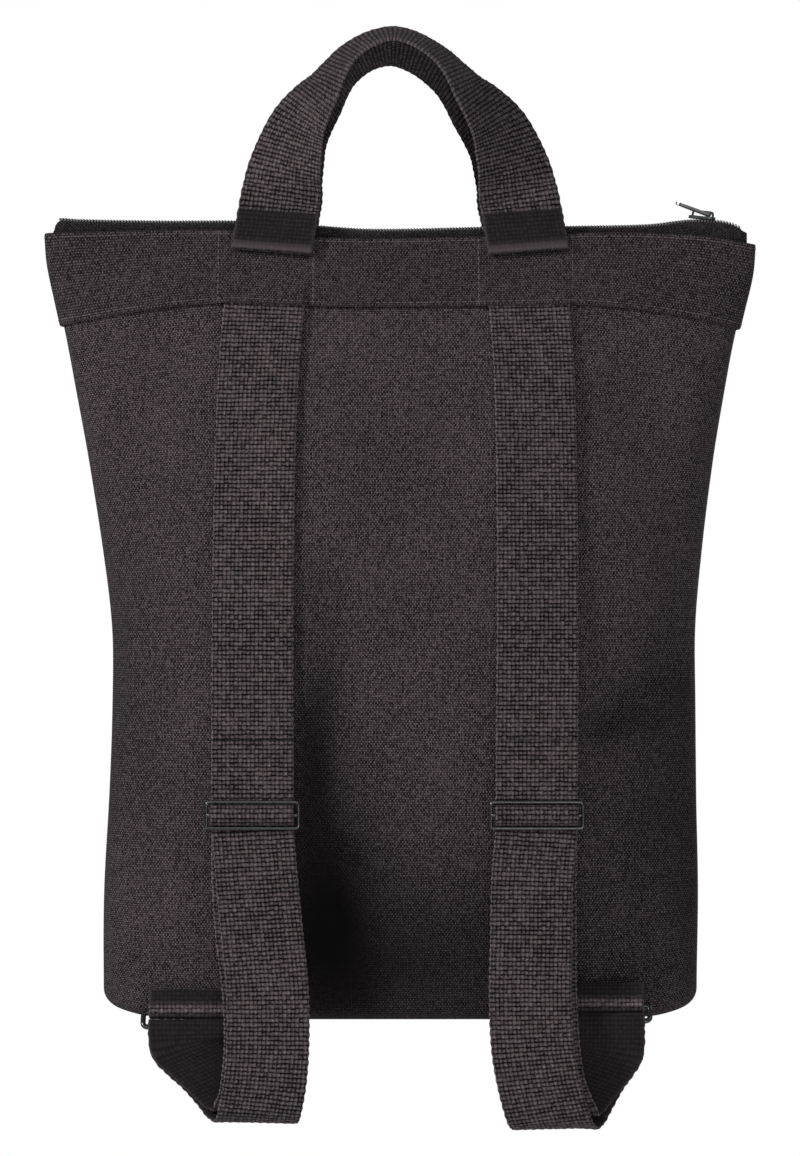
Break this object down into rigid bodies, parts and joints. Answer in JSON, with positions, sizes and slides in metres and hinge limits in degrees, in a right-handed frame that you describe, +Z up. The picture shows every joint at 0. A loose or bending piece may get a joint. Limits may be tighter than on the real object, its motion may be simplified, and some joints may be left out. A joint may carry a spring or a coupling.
{
  "type": "convertible backpack",
  "caption": "Zipped canvas tote body with two webbing carry handles and two buckled webbing shoulder straps looped through rings at the base corners.",
  "frame": {"origin": "where the bag hangs: under the crowns of the two carry handles, above the middle of the zip", "axes": "+Z up, +X along the zip towards its slider, -Y towards someone looking at the shoulder straps"},
  "size_m": [0.3554, 0.12, 0.5436],
  "materials": {
    "body_canvas": "matt cotton canvas",
    "band_canvas": "matt cotton canvas, doubled",
    "webbing": "ribbed cotton webbing",
    "zip_tape": "woven tape",
    "zip_coil": "nylon coil",
    "black_metal": "black, semi-gloss"
  },
  "bodies": {
    "bag": {"bag_body": "body_canvas", "hem_band": "band_canvas", "zip_tape_back": "zip_tape", "zip_tape_front": "zip_tape", "zip_coil_back": "zip_coil", "zip_coil_front": "zip_coil", "zip_slider": "black_metal", "handle_back": "webbing", "handle_front": "webbing", "shoulder_strap_left": "webbing", "shoulder_strap_right": "webbing", "strap_buckle_left": "black_metal", "strap_buckle_right": "black_metal", "strap_ring_left": "black_metal", "strap_ring_right": "black_metal", "ring_tab_left": "webbing", "ring_tab_right": "webbing"},
    "zip_puller": {"zip_puller": "black_metal"}
  },
  "joints": [
    {"name": "puller_hinge", "type": "hinge", "parent": "bag", "child": "zip_puller", "pos_m": [0.1547, 0, -0.09288], "axis": [0, 1, 0], "range_deg": [0, 148]}
  ]
}
